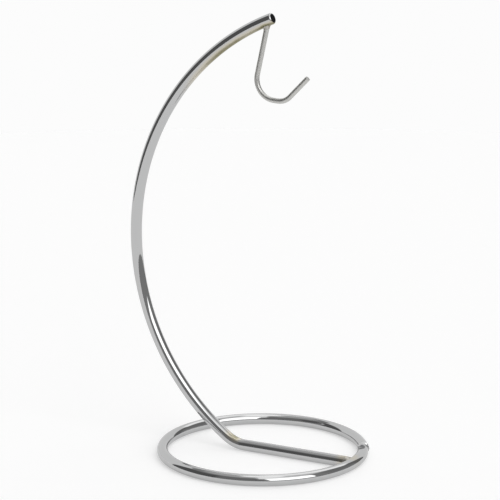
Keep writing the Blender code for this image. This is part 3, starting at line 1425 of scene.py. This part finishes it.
# ---------------------------------------------------------------- studio


@dataclass(frozen=True)
class Directions:
    """The direction that a ray looks in, as three shader values.

    Attributes:
        east: Its share along +X.
        north: Its share along +Y.
        up: Its share along +Z.
    """

    east: Value
    north: Value
    up: Value


@dataclass(frozen=True)
class LightPanel:
    """A patch of the studio round the stand, by direction.

    Attributes:
        name: What it is.
        azimuth: Its middle, in degrees from +Y towards +X.
        width: Its width in degrees.
        bottom: Elevation of its lower edge, in degrees.
        top: Elevation of its upper edge.
        light: How bright it is.
        edge: Width of its soft edge, in degrees.
    """

    name: str
    azimuth: float
    width: float
    bottom: float
    top: float
    light: float
    edge: float = 2.0

    def mask(self, graph: Graph, toward: Directions) -> Value:
        """One inside the patch: a product of four eased edges in azimuth and elevation.

        Args:
            graph: The world's graph.
            toward: Direction that is looked in.

        Returns:
            The mask.
        """
        middle = math.radians(self.azimuth)
        across = toward.east * math.cos(middle) - toward.north * math.sin(middle)
        ahead = toward.east * math.sin(middle) + toward.north * math.cos(middle)
        turned = across.maths("ARCTAN2", ahead) * math.degrees(1.0)
        elevation = toward.up.maths("ARCSINE") * math.degrees(1.0)
        half, soft = self.width / 2, self.edge / 2
        wide = turned.distance_from(0.0).eased(half + soft, half - soft)
        above = elevation.eased(self.bottom - soft, self.bottom + soft)
        return wide * above * elevation.eased(self.top + soft, self.top - soft)


@dataclass(frozen=True)
class Softbox:
    """A flat glowing rectangle that faces the stand.

    Attributes:
        name: What it is.
        azimuth: Azimuth that it faces from, in degrees from +Y towards +X.
        tilt: Elevation that it faces from, in degrees.
        half_width: Half its width over its distance.
        low: Height of its lower edge over the line that it faces along, over its distance.
        high: Height of its upper edge over that line, over its distance.
        light: How bright it is.
        edge: Width of its soft edge, over its distance.
    """

    name: str
    azimuth: float
    tilt: float
    half_width: float
    low: float
    high: float
    light: float
    edge: float = 0.03

    def mask(self, graph: Graph, toward: Directions) -> Value:
        """One inside the rectangle: the direction is carried onto its plane and measured there.

        Args:
            graph: The world's graph.
            toward: Direction that is looked in.

        Returns:
            The mask.
        """
        turn, rise, soft = math.radians(self.azimuth), math.radians(self.tilt), self.edge / 2
        level = toward.east * math.sin(turn) + toward.north * math.cos(turn)
        across = toward.east * math.cos(turn) - toward.north * math.sin(turn)
        ahead = level * math.cos(rise) + toward.up * math.sin(rise)
        over = toward.up * math.cos(rise) - level * math.sin(rise)
        depth = ahead.maths("MAXIMUM", 0.001)
        wide = (across / depth).distance_from(0.0)
        wide = wide.eased(self.half_width + soft, self.half_width - soft)
        height = over / depth
        above = height.eased(self.low - soft, self.low + soft)
        below = height.eased(self.high + soft, self.high - soft)
        return wide * above * below * ahead.eased(0.0, 0.01)


@dataclass
class Studio:
    """Pale tabletop, soft panels round it, and the camera.

    Attributes:
        panels: Patches of the surround, each painted over the ones before.
        ceiling: Brightness where no panel is.
        backdrop: Brightness of what lies behind the tabletop.
        table_radius: Radius of the tabletop.
        target: Point that the camera looks at.
        azimuth: Camera's azimuth round the stand, in degrees; 0 looks along +Y.
        elevation: Camera's elevation, in degrees.
        distance: Camera's distance from the target.
        lens: Focal length in millimetres.
        sensor: Sensor width in millimetres.
    """

    panels: tuple[LightPanel | Softbox, ...] = (
        LightPanel("room", 0.0, 360.0, -12.0, 57.0, 0.31, 6.0),
        LightPanel("left_wall", -182.5, 54.0, 5.0, 50.0, 0.235, 4.0),
        LightPanel("dark_side_screen", -127.5, 58.0, -12.0, 46.0, 0.13, 4.0),
        LightPanel("back_sheet", -40.0, 113.0, -12.0, 49.0, 0.96, 2.0),
        LightPanel("right_dark_wall", 51.0, 44.0, 14.0, 48.0, 0.245, 6.0),
        LightPanel("dark_slot", 26.0, 17.0, -4.0, 42.0, 0.19, 2.0),
        LightPanel("right_upper_wall", 55.0, 43.0, 57.0, 76.0, 0.86, 6.0),
        LightPanel("top_light", -10.0, 87.0, 53.0, 91.0, 1.3, 6.0),
        LightPanel("top_light_lobe", -0.5, 56.0, 39.0, 60.0, 1.5, 5.0),
        LightPanel("over_softbox", 122.0, 72.0, 42.0, 58.0, 1.5, 5.0),
        LightPanel("over_softbox_high", 129.0, 68.0, 57.0, 80.0, 1.2, 5.0),
        LightPanel("overhead", 0.0, 360.0, 78.0, 91.0, 1.65, 5.0),
        Softbox("key_softbox", 119.2, 17.0, 0.455, -0.096, 0.64, 2.4),
    )
    ceiling: float = 0.58
    backdrop: float = 0.973
    table_radius: float = 1.15
    target: Vector = Vector((-0.00597, -0.00324, 0.11066))
    azimuth: float = 28.45
    elevation: float = 12.15
    distance: float = 1.0298
    lens: float = 142.54
    sensor: float = 36.0

    def light_surround(self) -> None:
        """Paints the world by direction and keeps what the camera sees of it plain."""
        world = bpy.data.worlds.new("studio")
        bpy.context.scene.world = world
        world.use_nodes = True
        graph = Graph(world.node_tree)
        direction = graph.value("ShaderNodeTexCoord", output="Generated")
        split = graph.node("ShaderNodeSeparateXYZ", None, {0: direction})
        toward = Directions(*(Value(graph, socket) for socket in split.outputs))
        LOG.info("surround: %s", ", ".join(panel.name for panel in self.panels))
        level: Value | float = self.ceiling
        for panel in self.panels:
            mask = panel.mask(graph, toward)
            level = level * (1.0 - mask) + mask * panel.light
        seen = graph.value("ShaderNodeLightPath", output="Is Camera Ray")
        level = level * (1.0 - seen) + seen * self.backdrop
        background = graph.node("ShaderNodeBackground", None, {"Color": WHITE, "Strength": level})
        graph.show(background, "ShaderNodeOutputWorld")

    def lay_table(self, material: bpy.types.Material, sides: int = 256) -> None:
        """A round tabletop at z = 0.

        Args:
            material: Its finish.
            sides: Points round its edge.
        """
        angle = once_round(sides)
        ring = np.stack([np.cos(angle), np.sin(angle), np.zeros(sides)], axis=-1)
        mesh = bpy.data.meshes.new("tabletop")
        mesh.from_pydata(ring * self.table_radius, [], [list(range(sides))])
        table = bpy.data.objects.new("tabletop", mesh)
        bpy.context.scene.collection.objects.link(table)
        mesh.materials.append(material)

    def place_camera(self) -> None:
        """Puts the camera on its line of sight and makes it the scene's."""
        side, rise = math.radians(self.azimuth), math.radians(self.elevation)
        level = math.cos(rise)
        back = Vector((math.sin(side) * level, -math.cos(side) * level, math.sin(rise)))
        data = bpy.data.cameras.new("camera")
        data.lens = self.lens
        data.sensor_width = self.sensor
        camera = bpy.data.objects.new("camera", data)
        camera.location = self.target + back * self.distance
        camera.rotation_euler = (-back).to_track_quat("-Z", "Y").to_euler()
        bpy.context.scene.collection.objects.link(camera)
        bpy.context.scene.camera = camera

    def build(self) -> None:
        """Sets up the light, the tabletop, the camera and plain colour handling."""
        self.light_surround()
        self.lay_table(PaleFloor("pale_floor").material())
        self.place_camera()
        bpy.context.scene.view_settings.view_transform = "Standard"


def box_middle(node: str) -> Vector:
    """Middle of a CAD node's box."""
    low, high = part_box(node)
    return (Vector(low) + Vector(high)) / 2


def main() -> None:
    """Builds the studio and every sub-assembly on the frame."""
    logging.basicConfig(level=logging.INFO, format="%(name)s %(message)s")
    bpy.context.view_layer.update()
    Studio().build()
    ring_low, ring_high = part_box("base_ring")
    hook_low, hook_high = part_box("hook")
    _, arm_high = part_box("stand_arm")
    rod_radius = (ring_high[2] - ring_low[2]) / 2
    wire_radius = (hook_high[1] - hook_low[1]) / 2
    seam, foot, top = (box_middle(node) for node in ("ring_weld", "foot_weld", "hook_weld"))
    ring = BaseRing(rod_radius, seam.xy.length, math.atan2(seam.y, seam.x))
    arm = StandArm(rod_radius, arm_high[0], ring.centre_radius)
    hook = Hook(wire_radius, arm)
    # Painted warm reflection and painted shade next to the two welds, with haze.
    weld_hazes_and_tints = (
        WeldHazeAndPaintedTint(tuple(foot), inner=0.0025, outer=0.0085),
        WeldHazeAndPaintedTint(tuple(top), inner=0.0015, outer=0.0045),
    )
    # Painted warm reflection and painted olive shade inside the two bends.
    tight_bend = BendInsidePaintedShade(rod_radius, 0.0610, 0.0662, fading=0.0670, gone=0.0770, strength=0.92)
    long_curve = BendInsidePaintedShade(rod_radius, 0.272, 0.318, strength=0.95)
    # The tip's cut face gets a painted dark reflection.
    cut = CutFace(float(arm.centreline().along[-1]) + arm.tip.edge, arm.tip.edge)
    # The ground patch by the seam gets a painted dark reflection.
    patches = (ring.ground_patch_painted_dark(),)
    ring_chrome = BrightChrome("ring_chrome", weld_hazes_and_tints=weld_hazes_and_tints[:1], patches=patches)
    arm_chrome = BrightChrome("arm_chrome", weld_hazes_and_tints=weld_hazes_and_tints, bend_painted_shades=(tight_bend, long_curve), cut=cut)
    hook_chrome = BrightChrome("hook_chrome", (0.55, 0.547, 0.528, 1.0), roughness=0.40, haze=0.04)
    weld_chrome = PlatedWeld("weld_chrome").material()
    dressed_chrome = PlatedWeld(
        "dressed_weld_chrome",
        tint=(0.52, 0.52, 0.52, 1.0),
        random_dark_tint=(0.40, 0.40, 0.40, 1.0),
        roughness=0.07,
        grain_depth=0.00002,
    )
    ring.build(ring_chrome.material(), dressed_chrome.material())
    arm.build(arm_chrome.material(), weld_chrome)
    hook.build(hook_chrome.material(), weld_chrome)


if __name__ == "__main__":
    main()
